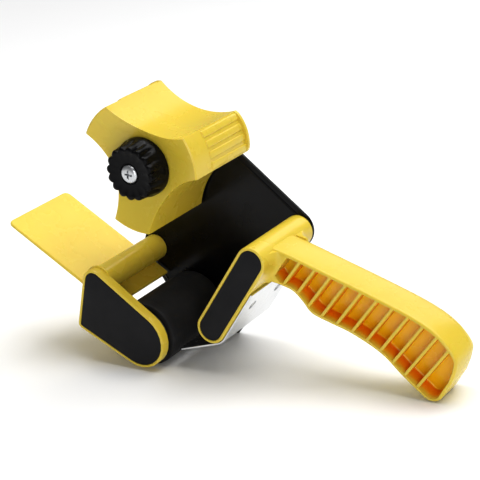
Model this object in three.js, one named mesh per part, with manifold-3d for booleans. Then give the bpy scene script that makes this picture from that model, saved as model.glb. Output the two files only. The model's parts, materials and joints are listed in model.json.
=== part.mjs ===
// Hand-held packing tape dispenser for 50 mm tape on a 3 inch core.
//
// Everything is drawn in the side view of the tool: X runs from the hub axis towards the
// handle, Z is up, Y runs from the near side to the far side plate, and the origin is on the
// hub axis at the front of the hub's lobes. The whole tool is then tilted until its roller
// and the toe of its handle both stand on the ground.

import * as THREE from 'three';
import { mergeVertices } from 'three/addons/utils/BufferGeometryUtils.js';
import Module from 'manifold-3d';

const wasm = await Module();
wasm.setup();

// ---- Driving dimensions, mm ----

const fit = 0.3;                    // clearance between touching or fitted pieces

// Tape hub: it fills a 76.2 mm core and carries a 50 mm roll
const hub = {
  radius: 37.3, waistRadius: 20.5, width: 51.3, wall: 2.6, lobes: 3,
  lobeSpan: 36, firstLobe: 20.8,
  dishSlope: 0.28, dishFloorRadius: 16, faceThickness: 4,
  boreRadius: 5.3, bossRadius: 8.5, seatRadius: 10.2, seatDepth: 5,
  ribRadius: 38, ribWidth: 2.4, ribPitch: 6.4, ribsPerLobe: 4, ribStart: 17,
  lipRadius: 39.4, lipWidth: 2.3, webThickness: 2,
};
const dishDepth = hub.dishSlope * (hub.radius - hub.dishFloorRadius);
const seatY = dishDepth + hub.seatDepth;

// Far side plate
const plate = {
  near: 53, thickness: 2, hubRadius: 15, neckRadius: 11, barRadius: 9, rollerRadius: 16,
  neckX: 66.5, neckZ: -38.5, cornerX: 28.4, cornerZ: -112, cornerRadius: 2,
};
const plateFar = plate.near + plate.thickness;

// Application roller on its fixed axle
const roller = {
  x: 1.6, z: -99.1, radius: 18.7, coreRadius: 14.5, near: 0.5, far: 51.5,
  axleRadius: 4, axleNear: -4.2, axleFar: 58.2, boreRadius: 4.3,
};

// Front guard moulding: near plate, cross bar and tape flap
const guard = {
  near: -7.2, far: -1.5, rim: 1.6, inset: 1.2,
  rollerEnd: 17.1, topX: -28, topZ: -72, topRadius: 7.6, toeX: -37.2, toeZ: -100.2, toeRadius: 3,
};
const bar = { x: -27.5, z: -72.5, radius: 7.5 };
const flap = {
  tipX: -92.5, tipZ: -52.5, lipX: -18.7, lipZ: -87, thickness: 1.9, far: 51.7,
  webWidth: 7, webHeight: 8, webDrop: 5.6,
};

// Handle moulding: slot-shaped cross member and ribbed grip
const member = {
  topX: 69, topZ: -38.5, lowX: 43.7, lowZ: -84.6, radius: 8.6, near: 2, rim: 1.7, inset: 1,
};
const grip = {
  near: 13.5, far: 38, wall: 1.9, depth: 10.2, web: 2.5, farWall: 4.3, edge: 4,
  toeX: 170.5, toeZ: -88.35, toeRadius: 7, toeFrom: -20, toeTo: -133,
  ribs: 11, ribPitch: 8.78, ribThickness: 1.6, ribX: 92, ribZ: -36.8, ribLean: 58,
  firstPocket: 6.8, neckX: 75.5,
};
const gripBack = [
  [70, -32], [84, -34], [110, -39.4], [136, -45], [159, -50.8], [173.6, -57.4], [182.93, -66.6],
  [183.52, -73.6], [181.6, -81.5],
];
const gripFingers = [
  [154, -85.6], [141, -76.2], [124, -69.8], [111, -67.2], [100, -64.6], [94, -59], [88, -54.6],
  [80, -53], [64, -52],
];

// Cutter
const blade = {
  near: 3.5, far: 50.5, thickness: 1, tipX: 21.6, tipZ: -104.4, teeth: 15, toothDepth: 2.4, top: 17,
};
const bladeFastener = { shank: 1.7, head: 3, headHeight: 1.7, length: 8, along: 30 };
const bladeScrewY = [14, 40];

// Self-tapping screws through the plate, two of them into the cross member
const fastener = { shank: 2.3, head: 4.4, headHeight: 2.6, end: 36 };
const memberScrewAlong = [6, 46];

// Brake stack on the hub axis
const screw = { radius: 3, headRadius: 5.2, headHeight: 3, headSeat: -6.5, end: 63.4 };
const knob = {
  near: -8.5, far: 5.7, frontRadius: 15.3, backRadius: 16.6, grips: 16, grooveDepth: 1.6,
  cavity: 10.6, roof: -2, insertRadius: 5,
};
const sleeve = { near: 11.3, outer: 5, inner: 3.4 };
const spring = { meanRadius: 7.6, wire: 1.5, turns: 4 };
const washer = { radius: 9.6, thickness: 1.5 };
const seatThickness = 1.2;
const nut = { acrossFlats: 10, height: 5, washerRadius: 9, washerThickness: 1.4 };

// ---- Materials ----

const yellow = { color: 0xf0cf1e, roughness: 0.35, metalness: 0 };
const blackPaint = { color: 0x0b0b0c, roughness: 0.25, metalness: 0.2 };
const charcoal = { color: 0x232326, roughness: 0.6, metalness: 0 };
const blackPlastic = { color: 0x0c0c0d, roughness: 0.3, metalness: 0 };
const rubber = { color: 0x1d1d1f, roughness: 0.8, metalness: 0 };
const greyPlastic = { color: 0x5a5a5c, roughness: 0.5, metalness: 0 };
const steel = { color: 0xc9cbcd, roughness: 0.25, metalness: 1 };
const brass = { color: 0xc8a24a, roughness: 0.3, metalness: 1 };
const fibre = { color: 0x6d3b24, roughness: 0.9, metalness: 0 };

// ---- Shape helpers ----

const radians = THREE.MathUtils.degToRad;

// Outline of a band wrapped round discs [x, z, radius], listed anticlockwise
function belt(discs) {
  const count = discs.length;
  const leaving = discs.map(([x, z, r], i) => {
    const [nextX, nextZ, nextR] = discs[(i + 1) % count];
    const span = Math.hypot(nextX - x, nextZ - z);
    return Math.atan2(nextZ - z, nextX - x) - Math.acos((r - nextR) / span);
  });
  const shape = new THREE.Shape();
  discs.forEach(([x, z, r], i) => {
    const arriving = leaving[(i + count - 1) % count];
    shape.absarc(x, z, r, arriving, leaving[i], false);
  });
  return shape;
}

// A side-view outline given width from yNear to yFar
function prism(shape, yNear, yFar, curveSegments = 5) {
  const options = { depth: yFar - yNear, bevelEnabled: false, curveSegments };
  return new THREE.ExtrudeGeometry(shape, options).rotateX(Math.PI / 2).translate(0, yFar, 0);
}

function rod(x, z, radius, yNear, yFar, sides = 32) {
  const geometry = new THREE.CylinderGeometry(radius, radius, yFar - yNear, sides);
  return geometry.translate(x, (yNear + yFar) / 2, z);
}

// Ring about an axis along Y
function ring(x, z, inner, outer, yNear, yFar, sides = 32) {
  const profile = [
    [inner, yNear], [outer, yNear], [outer, yFar], [inner, yFar], [inner, yNear],
  ].map(([r, y]) => new THREE.Vector2(r, y));
  return new THREE.LatheGeometry(profile, sides).translate(x, 0, z);
}

// Closed geometry to a solid that can be joined and cut
function solid(geometry) {
  const bare = geometry.clone();
  bare.deleteAttribute('normal');
  bare.deleteAttribute('uv');
  const merged = mergeVertices(bare, 1e-4);
  const corners = [];
  for (let i = 0; i < merged.index.count; i += 3) {
    const [a, b, c] = [0, 1, 2].map((k) => merged.index.getX(i + k));
    if (a !== b && b !== c && c !== a) corners.push(a, b, c);
  }
  const vertProperties = new Float32Array(merged.attributes.position.array);
  const triVerts = new Uint32Array(corners);
  return new wasm.Manifold(new wasm.Mesh({ numProp: 3, vertProperties, triVerts }));
}

function toGeometry(piece) {
  const mesh = piece.getMesh();
  const geometry = new THREE.BufferGeometry();
  geometry.setAttribute('position', new THREE.BufferAttribute(mesh.vertProperties, 3));
  geometry.setIndex(new THREE.BufferAttribute(mesh.triVerts, 1));
  geometry.computeVertexNormals();
  return geometry;
}

function join(...geometries) {
  return geometries.map(solid).reduce((all, next) => all.add(next));
}

function cut(piece, ...geometries) {
  return geometries.map(solid).reduce((left, tool) => left.subtract(tool), piece);
}

const tool = new THREE.Group();

function add(name, piece, look) {
  const geometry = piece.isBufferGeometry ? toGeometry(solid(piece)) : toGeometry(piece);
  const mesh = new THREE.Mesh(geometry, new THREE.MeshStandardMaterial(look));
  mesh.name = name;
  tool.add(mesh);
}

// ---- Frame ----

// The plate reaches from the hub to the bar, round the roller to a low rear corner and up
// behind the cross member
function sidePlate() {
  const outline = belt([
    [0, 0, plate.hubRadius],
    [bar.x, bar.z, plate.barRadius],
    [roller.x, roller.z, plate.rollerRadius],
    [plate.cornerX, plate.cornerZ, plate.cornerRadius],
    [plate.neckX, plate.neckZ, plate.neckRadius],
  ]);
  return cut(
    solid(prism(outline, plate.near, plateFar, 8)),
    rod(0, 0, screw.radius + fit, plate.near - 1, plateFar + 1, 24),
    rod(roller.x, roller.z, roller.axleRadius + fit, plate.near - 1, plateFar + 1, 24),
    rod(bar.x, bar.z, fastener.shank + fit, plate.near - 1, plateFar + 1, 16),
    ...memberScrews.map(([x, z]) => (
      rod(x, z, fastener.shank + fit, plate.near - 1, plateFar + 1, 16)
    )),
  );
}

// ---- Front guard ----

function guardOutline(inset) {
  return belt([
    [guard.topX, guard.topZ, guard.topRadius - inset],
    [guard.toeX, guard.toeZ, guard.toeRadius - inset],
    [roller.x, roller.z, guard.rollerEnd - inset],
  ]);
}

// The flap's sheet and web start inside the near plate and stop short of the side plate
const flapLean = Math.atan2(flap.lipZ - flap.tipZ, flap.lipX - flap.tipX);
const flapWidth = flap.far - guard.far + 0.5;
const flapMiddle = flap.far - flapWidth / 2;

// Flat sheet from the free edge of the flap, under the bar, to the lip beside the roller
function flapSheet() {
  const length = Math.hypot(flap.lipX - flap.tipX, flap.lipZ - flap.tipZ);
  const sheet = new THREE.BoxGeometry(length, flapWidth, flap.thickness).rotateY(-flapLean);
  return sheet.translate((flap.lipX + flap.tipX) / 2, flapMiddle, (flap.lipZ + flap.tipZ) / 2);
}

// Web that joins the bar to the sheet below it
function flapWeb() {
  const web = new THREE.BoxGeometry(flap.webWidth, flapWidth, flap.webHeight).rotateY(-flapLean);
  const x = bar.x + flap.webDrop * Math.sin(flapLean);
  const z = bar.z - flap.webDrop * Math.cos(flapLean);
  return web.translate(x, flapMiddle, z);
}

function frontGuard() {
  const body = join(
    prism(guardOutline(0), guard.near, guard.far, 7),
    rod(bar.x, bar.z, bar.radius, guard.far - 1, plate.near, 32),
    flapSheet(),
    flapWeb(),
  );
  return cut(
    body,
    prism(guardOutline(guard.rim), guard.near - 1, guard.near + guard.inset, 7),
    rod(roller.x, roller.z, roller.axleRadius + fit, roller.axleNear - fit, guard.far + 1, 24),
    rod(bar.x, bar.z, fastener.shank + fit, fastener.end - 1, plate.near + 1, 16),
  );
}

function guardPanel() {
  const depth = guard.near + guard.inset;
  return prism(guardOutline(guard.rim + fit), guard.near + 0.1, depth, 7);
}

// ---- Handle ----

function memberOutline(inset) {
  const radius = member.radius - inset;
  return belt([
    [member.topX, member.topZ, radius],
    [member.lowX, member.lowZ, radius],
  ]);
}

// Side view of the grip: sloping back, rounded heel, toe, and finger side with a front stop
function gripOutline() {
  const spots = (list) => list.map(([x, z]) => new THREE.Vector2(x, z));
  const shape = new THREE.Shape();
  shape.moveTo(...gripBack[0]);
  shape.splineThru(spots(gripBack.slice(1)));
  const { toeX, toeZ, toeRadius, toeFrom, toeTo } = grip;
  shape.absarc(toeX, toeZ, toeRadius, radians(toeFrom), radians(toeTo), true);
  shape.splineThru(spots(gripFingers.slice(0, -1)));
  shape.lineTo(...gripFingers.at(-1));
  return shape;
}

// The outline of the grip alone, moved inwards by a wall's thickness
function insetOutline(shape, distance, curveSegments) {
  const points = shape.getPoints(curveSegments);
  const loop = points[0].equals(points.at(-1)) ? points.slice(0, -1) : points;
  const inward = THREE.ShapeUtils.area(loop) > 0 ? distance : -distance;
  const moved = loop.map((point, i) => {
    const before = loop[(i + loop.length - 1) % loop.length];
    const after = loop[(i + 1) % loop.length];
    const along = after.clone().sub(before).normalize();
    return new THREE.Vector2(point.x - along.y * inward, point.y + along.x * inward);
  });
  return new THREE.Shape(moved.filter((point) => point.x > grip.neckX));
}

// Pockets of the grip: a hollow on each side of its middle web, divided by parallel ribs
function gripPockets() {
  const webNear = grip.near + grip.depth;
  const hollow = join(
    prism(insetOutline(gripOutline(), grip.wall, 4), grip.near - 1, webNear, 4),
    prism(insetOutline(gripOutline(), grip.farWall, 4), webNear + grip.web, grip.far + 1, 4),
  );
  const lean = radians(grip.ribLean);
  const length = 90;
  // Slab across the side view, leaning as the ribs do, at a distance from the first rib
  const slab = (thickness, step) => {
    const box = new THREE.BoxGeometry(thickness, 2 * grip.far, length).rotateY(Math.PI / 2 - lean);
    const x = grip.ribX + step * Math.sin(lean) - length / 4 * Math.cos(lean);
    const z = grip.ribZ - step * Math.cos(lean) - length / 4 * Math.sin(lean);
    return box.translate(x, grip.far, z);
  };
  const neck = 60;
  const slabs = [slab(neck, -grip.firstPocket - neck / 2)];
  for (let i = 0; i < grip.ribs; i += 1) slabs.push(slab(grip.ribThickness, i * grip.ribPitch));
  return cut(hollow, ...slabs);
}

function handle() {
  const rounded = new THREE.ExtrudeGeometry(gripOutline(), {
    depth: grip.far - grip.near - 2 * grip.edge,
    bevelThickness: grip.edge,
    bevelSize: grip.edge,
    bevelOffset: -grip.edge,
    bevelSegments: 3,
    curveSegments: 4,
  });
  rounded.rotateX(Math.PI / 2).translate(0, grip.far - grip.edge, 0);
  const body = join(
    prism(gripOutline(), grip.near, grip.far - 2 * grip.edge, 4),
    rounded,
    prism(memberOutline(0), member.near, plate.near, 8),
  ).subtract(gripPockets());
  return cut(
    body,
    prism(memberOutline(member.rim), member.near - 1, member.near + member.inset, 8),
    ...memberScrews.map(([x, z]) => (
      rod(x, z, fastener.shank + fit, fastener.end - 1, plate.near + 1, 16)
    )),
    ...bladeScrewY.map((y) => crossRod(y, bladeFastener.shank + fit, -bladeFastener.length - 1, 3)),
    ...bladeScrewY.map((y) => crossRod(y, bladeFastener.head + fit, -0.8, 3, 20)),
  );
}

function handlePanel() {
  return prism(memberOutline(member.rim + fit), member.near + 0.1, member.near + member.inset, 8);
}

// ---- Cutter ----

// Direction down the cross member and the outward direction of its rear face
const memberLength = Math.hypot(member.lowX - member.topX, member.lowZ - member.topZ);
const down = new THREE.Vector2(
  (member.lowX - member.topX) / memberLength,
  (member.lowZ - member.topZ) / memberLength,
);
const rear = new THREE.Vector2(-down.y, down.x);

// A point beside the cross member: so far along it from the top and so far behind its axis
function besideMember(along, behind) {
  return [
    member.topX + down.x * along + rear.x * behind,
    member.topZ + down.y * along + rear.y * behind,
  ];
}

const memberScrews = memberScrewAlong.map((along) => besideMember(along, 0));

// Rod square to the rear face of the cross member, between two distances from that face
function crossRod(y, radius, from, to, sides = 16) {
  const geometry = new THREE.CylinderGeometry(radius, radius, to - from, sides);
  geometry.rotateZ(-Math.PI / 2);
  geometry.rotateY(-Math.atan2(rear.y, rear.x));
  const [x, z] = besideMember(bladeFastener.along, member.radius + (from + to) / 2);
  return geometry.translate(x, y, z);
}

// One bent sheet: a flange down the rear face, wrapped under the member's round lower end,
// then straight forward to the toothed edge beside the roller
function cutterSection() {
  const inside = member.radius + fit;
  const outside = inside + blade.thickness;
  const reachX = member.lowX - blade.tipX;
  const reachZ = member.lowZ - blade.tipZ;
  const toAxis = Math.atan2(reachZ, reachX);
  const offset = Math.asin(outside / Math.hypot(reachX, reachZ));
  const under = toAxis - offset - Math.PI / 2;
  const behind = Math.atan2(rear.y, rear.x);
  const edgeX = blade.tipX - blade.thickness * Math.cos(under) * 0.5;
  const edgeZ = blade.tipZ - blade.thickness * Math.sin(under) * 0.5;
  const shape = new THREE.Shape();
  shape.moveTo(...besideMember(blade.top, inside));
  shape.lineTo(...besideMember(blade.top, outside));
  shape.absarc(member.lowX, member.lowZ, outside, behind, under, true);
  shape.lineTo(blade.tipX, blade.tipZ);
  shape.lineTo(edgeX, edgeZ);
  shape.absarc(member.lowX, member.lowZ, inside, under, behind, false);
  return { shape, lean: toAxis - offset };
}

function cutter() {
  const { shape, lean } = cutterSection();
  const pitch = (blade.far - blade.near) / blade.teeth;
  const notches = [];
  for (let i = 0; i <= blade.teeth; i += 1) {
    const notch = new THREE.CylinderGeometry(1, 1, 6, 4, 1);
    notch.rotateX(Math.PI / 2);
    notch.scale(blade.toothDepth, pitch / 2 - 0.1, 1);
    notch.rotateY(-lean);
    notches.push(notch.translate(blade.tipX, blade.near + i * pitch, blade.tipZ));
  }
  return cut(
    solid(prism(shape, blade.near, blade.far)),
    ...notches,
    ...bladeScrewY.map((y) => crossRod(y, bladeFastener.head + fit, -1, 3, 20)),
  );
}

// Flat-headed screw, flush with the flange
function bladeScrew(y) {
  const flush = fit + blade.thickness;
  return join(
    crossRod(y, bladeFastener.shank, -bladeFastener.length, 0, 16),
    crossRod(y, bladeFastener.head, flush - bladeFastener.headHeight, flush, 20),
  );
}

// ---- Screws through the plate ----

function plateScrew(x, z) {
  return join(
    rod(x, z, fastener.shank, fastener.end, plateFar + 1, 16),
    rod(x, z, fastener.head, plateFar, plateFar + fastener.headHeight, 24),
  );
}

// ---- Roller ----

// Core and rubber sleeve, with a hair's gap between them
function rollerCore() {
  const { x, z, boreRadius, coreRadius, near, far } = roller;
  return ring(x, z, boreRadius, coreRadius - 0.1, near, far, 40);
}

function rollerSleeve() {
  const { x, z, coreRadius, radius, near, far } = roller;
  return ring(x, z, coreRadius + 0.1, radius, near + 0.5, far - 0.5, 64);
}

// ---- Tape hub ----

// Lobes on a circle joined by concave sides, made smaller all round by the inset
function hubOutline(radius, waist) {
  const half = radians(hub.lobeSpan / 2);
  const step = 2 * Math.PI / hub.lobes;
  const chord = radius * Math.cos(step / 2 - half);
  const halfChord = radius * Math.sin(step / 2 - half);
  const sagitta = chord - waist;
  const hollowRadius = (halfChord ** 2 + sagitta ** 2) / (2 * sagitta);
  const shape = new THREE.Shape();
  for (let i = 0; i < hub.lobes; i += 1) {
    const middle = radians(hub.firstLobe) + i * step;
    const hollow = middle + step / 2;
    const away = waist + hollowRadius;
    const spread = Math.asin(halfChord / hollowRadius);
    shape.absarc(0, 0, radius, middle - half, middle + half, false);
    shape.absarc(
      away * Math.cos(hollow), away * Math.sin(hollow), hollowRadius,
      hollow + Math.PI + spread, hollow + Math.PI - spread, true,
    );
  }
  return shape;
}

function hubRibs() {
  const ribs = [];
  for (let lobe = 0; lobe < hub.lobes; lobe += 1) {
    for (let i = 0; i < hub.ribsPerLobe; i += 1) {
      const offset = (i - (hub.ribsPerLobe - 1) / 2) * hub.ribPitch / hub.radius;
      const angle = radians(hub.firstLobe + lobe * 360 / hub.lobes) + offset;
      const rib = new THREE.BoxGeometry(2, hub.width - hub.ribStart, hub.ribWidth);
      rib.translate(hub.ribRadius - 1, (hub.width + hub.ribStart) / 2, 0);
      ribs.push(rib.rotateY(-angle));
    }
  }
  return ribs;
}

// Crescent at the end of each lobe that stops the tape's core
function hubLips() {
  const half = radians(hub.lobeSpan / 2);
  const bulge = 2 * hub.lipRadius - hub.radius * Math.cos(half);
  const lips = [];
  for (let lobe = 0; lobe < hub.lobes; lobe += 1) {
    const middle = radians(hub.firstLobe + lobe * 360 / hub.lobes);
    const at = (radius, angle) => [radius * Math.cos(angle), radius * Math.sin(angle)];
    const shape = new THREE.Shape();
    shape.moveTo(...at(hub.radius, middle - half));
    shape.quadraticCurveTo(...at(bulge, middle), ...at(hub.radius, middle + half));
    shape.lineTo(...at(hub.radius - hub.wall / 2, middle));
    lips.push(prism(shape, hub.width - hub.lipWidth, hub.width, 8));
  }
  return lips;
}

function hubHollow() {
  const floor = dishDepth + hub.faceThickness;
  const walls = hubOutline(hub.radius - hub.wall, hub.waistRadius - hub.wall);
  const hollow = prism(walls, floor, hub.width + 1, 6);
  const webs = [];
  for (let lobe = 0; lobe < hub.lobes; lobe += 1) {
    const web = new THREE.BoxGeometry(hub.radius, hub.width + 4, hub.webThickness);
    web.translate(hub.radius / 2, hub.width / 2, 0);
    webs.push(web.rotateY(-radians(hub.firstLobe + lobe * 360 / hub.lobes)));
  }
  return cut(solid(hollow), rod(0, 0, hub.bossRadius, -1, hub.width + 2, 32), ...webs);
}

function tapeHub() {
  const dish = new THREE.LatheGeometry([
    [0, -2], [hub.radius + 3, -2], [hub.radius + 3, -3 * hub.dishSlope],
    [hub.dishFloorRadius, dishDepth], [0, dishDepth],
  ].map(([r, y]) => new THREE.Vector2(r, y)), 48);
  const lobes = prism(hubOutline(hub.radius, hub.waistRadius), 0, hub.width, 6);
  const outside = join(lobes, ...hubLips(), ...hubRibs());
  return cut(
    outside.subtract(hubHollow()),
    dish,
    rod(0, 0, hub.seatRadius, 0, dishDepth + hub.seatDepth, 32),
    rod(0, 0, hub.boreRadius, 0, hub.width + 1, 32),
  );
}

// ---- Brake on the hub axis ----

function knobOutline(radius) {
  const shape = new THREE.Shape();
  const step = 2 * Math.PI / knob.grips;
  for (let i = 0; i < knob.grips; i += 1) {
    const middle = i * step;
    shape.absarc(0, 0, radius, middle - step * 0.3, middle + step * 0.3, false);
    const groove = middle + step / 2;
    const next = middle + step * 0.7;
    const low = radius - knob.grooveDepth;
    shape.quadraticCurveTo(
      low * Math.cos(groove), low * Math.sin(groove),
      radius * Math.cos(next), radius * Math.sin(next),
    );
  }
  return shape;
}

// Fluted knob, a little narrower at the front, hollow behind for the spring
function tensionKnob() {
  const outside = prism(knobOutline(knob.backRadius), knob.near, knob.far, 2);
  const place = outside.attributes.position;
  for (let i = 0; i < place.count; i += 1) {
    const forward = (knob.far - place.getY(i)) / (knob.far - knob.near);
    const scale = 1 - forward * (1 - knob.frontRadius / knob.backRadius);
    place.setX(i, place.getX(i) * scale);
    place.setZ(i, place.getZ(i) * scale);
  }
  return cut(
    solid(outside),
    rod(0, 0, knob.cavity, knob.roof, knob.far + 1, 32),
    rod(0, 0, screw.headRadius + fit, knob.near - 1, screw.headSeat, 32),
    rod(0, 0, knob.insertRadius + fit, screw.headSeat - 1, knob.roof + 1, 6),
  );
}

function knobInsert() {
  const body = solid(rod(0, 0, knob.insertRadius, screw.headSeat, knob.roof, 6));
  return cut(body, rod(0, 0, screw.radius + fit, screw.headSeat - 1, knob.roof + 1, 24));
}

// Pan-head screw with a cross recess, from the knob through the hub to the nut
function tensionScrew() {
  const front = screw.headSeat - screw.headHeight;
  const profile = [
    [0, front], [screw.headRadius / 2, front],
    [screw.headRadius - 0.7, front + 0.7], [screw.headRadius, front + 1.8],
    [screw.headRadius, screw.headSeat], [screw.radius, screw.headSeat],
    [screw.radius, screw.end - 0.8], [screw.radius - 0.8, screw.end], [0, screw.end],
  ].map(([r, y]) => new THREE.Vector2(r, y));
  const arm = new THREE.BoxGeometry(5.6, 3.6, 1.1).translate(0, front, 0);
  return cut(solid(new THREE.LatheGeometry(profile, 24)), arm, arm.clone().rotateY(Math.PI / 2));
}

// Compression spring between the fixed washer and the seat under the knob
function tensionSpring() {
  const near = knob.roof + seatThickness + spring.wire / 2 + 0.1;
  const far = seatY - washer.thickness - spring.wire / 2 - 0.1;
  class Helix extends THREE.Curve {
    getPoint(t, target = new THREE.Vector3()) {
      const angle = 2 * Math.PI * spring.turns * t;
      return target.set(
        spring.meanRadius * Math.cos(angle),
        near + (far - near) * t,
        spring.meanRadius * Math.sin(angle),
      );
    }
  }
  const wire = new THREE.Shape().absarc(0, 0, spring.wire / 2, 0, 2 * Math.PI, false);
  return new THREE.ExtrudeGeometry(wire, {
    steps: 18 * spring.turns,
    bevelEnabled: false,
    curveSegments: 4,
    extrudePath: new Helix(),
  });
}

function hexNut(yNear) {
  const radius = nut.acrossFlats / Math.sqrt(3);
  const body = solid(rod(0, 0, radius, yNear, yNear + nut.height, 6));
  return cut(body, rod(0, 0, screw.radius + fit, yNear - 1, yNear + nut.height + 1, 24));
}

// ---- Assembly ----

add('side_plate', sidePlate(), blackPaint);
add('front_guard', frontGuard(), yellow);
add('guard_panel', guardPanel(), charcoal);
add('guard_screw', plateScrew(bar.x, bar.z), steel);
add('handle', handle(), yellow);
add('handle_panel', handlePanel(), charcoal);
memberScrews.forEach(([x, z], i) => add(`handle_screw_${i + 1}`, plateScrew(x, z), steel));

add('blade', cutter(), steel);
bladeScrewY.forEach((y, i) => add(`blade_screw_${i + 1}`, bladeScrew(y), steel));

const { x: axleX, z: axleZ, axleRadius } = roller;
add('roller_axle', rod(axleX, axleZ, axleRadius, roller.axleNear, roller.axleFar, 24), steel);
add('axle_washer', ring(axleX, axleZ, axleRadius + fit, 8, plateFar, plateFar + 1, 24), steel);
add('axle_clip', ring(axleX, axleZ, axleRadius + 0.1, 6.6, plateFar + 1, plateFar + 2, 24), steel);
add('roller_core', rollerCore(), greyPlastic);
add('roller_sleeve', rollerSleeve(), rubber);

add('tape_hub', tapeHub(), yellow);
add('hub_sleeve', ring(0, 0, sleeve.inner, sleeve.outer, sleeve.near, plate.near, 24), steel);
add('friction_washer', ring(0, 0, sleeve.outer + 0.4, 13, hub.width, plate.near, 32), fibre);
const screwBore = screw.radius + fit;
const nutNear = plateFar + nut.washerThickness;
add('pressure_washer', ring(0, 0, screwBore, washer.radius, seatY - washer.thickness, seatY), steel);
add('tension_spring', tensionSpring(), steel);
add('spring_seat', ring(0, 0, screwBore, washer.radius, knob.roof, knob.roof + seatThickness), steel);
add('tension_knob', tensionKnob(), blackPlastic);
add('knob_insert', knobInsert(), brass);
add('tension_screw', tensionScrew(), steel);
add('nut_washer', ring(0, 0, screwBore, nut.washerRadius, plateFar, nutNear), steel);
add('plate_nut', hexNut(nutNear), steel);

// ---- Stance: roller and toe on the ground, origin under the middle ----

const reach = Math.hypot(grip.toeX - roller.x, grip.toeZ - roller.z);
const rise = Math.atan2(grip.toeZ - roller.z, grip.toeX - roller.x);
const groundNormal = rise - Math.acos((roller.radius - grip.toeRadius) / reach);
tool.rotation.y = groundNormal + Math.PI / 2;

const group = new THREE.Group();
group.add(tool);
group.updateMatrixWorld(true);
const box = new THREE.Box3().setFromObject(group, true);
const middle = box.getCenter(new THREE.Vector3());
tool.position.set(-middle.x, -middle.y, -box.min.z);
group.updateMatrixWorld(true);

export default group;
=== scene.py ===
import json
import math

import bmesh
import bpy
from mathutils import Matrix, Vector


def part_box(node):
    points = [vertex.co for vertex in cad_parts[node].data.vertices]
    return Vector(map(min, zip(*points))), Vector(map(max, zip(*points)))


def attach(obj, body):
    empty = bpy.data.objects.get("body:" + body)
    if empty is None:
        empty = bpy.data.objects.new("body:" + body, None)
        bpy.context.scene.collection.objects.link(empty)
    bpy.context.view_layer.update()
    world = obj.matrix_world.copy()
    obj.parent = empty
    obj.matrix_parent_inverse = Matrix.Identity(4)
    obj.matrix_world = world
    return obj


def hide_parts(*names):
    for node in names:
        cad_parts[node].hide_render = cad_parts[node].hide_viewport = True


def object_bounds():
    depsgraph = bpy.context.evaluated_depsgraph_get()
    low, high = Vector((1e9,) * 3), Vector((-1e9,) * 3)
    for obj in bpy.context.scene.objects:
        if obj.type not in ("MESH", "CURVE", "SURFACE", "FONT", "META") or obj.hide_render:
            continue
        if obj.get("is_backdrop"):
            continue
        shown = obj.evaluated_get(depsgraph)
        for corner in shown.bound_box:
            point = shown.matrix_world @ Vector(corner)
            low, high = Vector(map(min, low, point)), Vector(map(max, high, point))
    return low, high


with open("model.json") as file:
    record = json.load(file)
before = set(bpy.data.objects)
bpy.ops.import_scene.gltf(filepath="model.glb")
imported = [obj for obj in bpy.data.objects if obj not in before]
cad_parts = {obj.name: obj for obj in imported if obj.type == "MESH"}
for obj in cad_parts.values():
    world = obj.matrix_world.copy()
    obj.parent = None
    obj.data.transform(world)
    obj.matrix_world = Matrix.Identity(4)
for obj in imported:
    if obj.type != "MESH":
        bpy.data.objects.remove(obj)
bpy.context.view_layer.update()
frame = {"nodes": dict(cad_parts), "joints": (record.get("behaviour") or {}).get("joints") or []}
print("frame loaded")

mm = 0.001

# The tool is drawn in its own side view: X from the hub axis to the handle, Y from the knob side
# to the side plate, Z up, with the hub axis at the origin. Two joints say how it stands.
joints = {joint["name"]: joint for joint in frame["joints"]}
hubAxis = Vector(joints["hub_spin"]["pos_m"])
rollerAxis = Vector(joints["roller_spin"]["pos_m"])
roller = {"x": 1.6, "z": -99.1, "radius": 18.68, "near": 1.0, "far": 51.0, "bore": 4.3, "core": 14.4}
drawnAngle = math.atan2(roller["z"], roller["x"])
standingAngle = math.atan2(rollerAxis.z - hubAxis.z, rollerAxis.x - hubAxis.x)
toolPlace = (
    Matrix.Translation((hubAxis.x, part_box("tape_hub")[0].y, hubAxis.z))
    @ Matrix.Rotation(drawnAngle - standingAngle, 4, "Y")
)


def clearSelection():
    if bpy.context.mode != "OBJECT":
        bpy.ops.object.mode_set(mode="OBJECT")
    bpy.ops.object.select_all(action="DESELECT")


def pick(piece):
    clearSelection()
    piece.select_set(True)
    bpy.context.view_layer.objects.active = piece


def beltPoints(discs, inset=0.0, steps=10):
    # points of a band wrapped round discs (x, z, radius) given anticlockwise, in mm
    leaving = []
    for i, (x, z, r) in enumerate(discs):
        nextX, nextZ, nextR = discs[(i + 1) % len(discs)]
        span = math.hypot(nextX - x, nextZ - z)
        leaving.append(math.atan2(nextZ - z, nextX - x) - math.acos((r - nextR) / span))
    points = []
    for i, (x, z, r) in enumerate(discs):
        start, end = leaving[i - 1], leaving[i]
        while end < start:
            end += 2 * math.pi
        for k in range(steps + 1):
            angle = start + (end - start) * k / steps
            points.append((x + (r - inset) * math.cos(angle), z + (r - inset) * math.sin(angle)))
    return points


def circlePoints(x, z, radius, count=64):
    return [
        (x + radius * math.cos(2 * math.pi * k / count), z + radius * math.sin(2 * math.pi * k / count))
        for k in range(count)
    ]


def ringAt(points, y):
    return [Vector((x * mm, y * mm, z * mm)) for x, z in points]


def placeRing(piece, order, ring):
    # moves the selected loop, known by where its points were, to the next ring
    mesh = bmesh.from_edit_mesh(piece.data)
    places = {}
    for index, spot in enumerate(order):
        places.setdefault(tuple(round(c, 7) for c in spot), []).append(index)
    moved = [None] * len(ring)
    for vertex in mesh.verts:
        if vertex.select:
            index = places[tuple(round(c, 7) for c in vertex.co)].pop()
            vertex.co = ring[index]
            moved[index] = vertex.co.copy()
    bmesh.update_edit_mesh(piece.data)
    return moved


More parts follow.
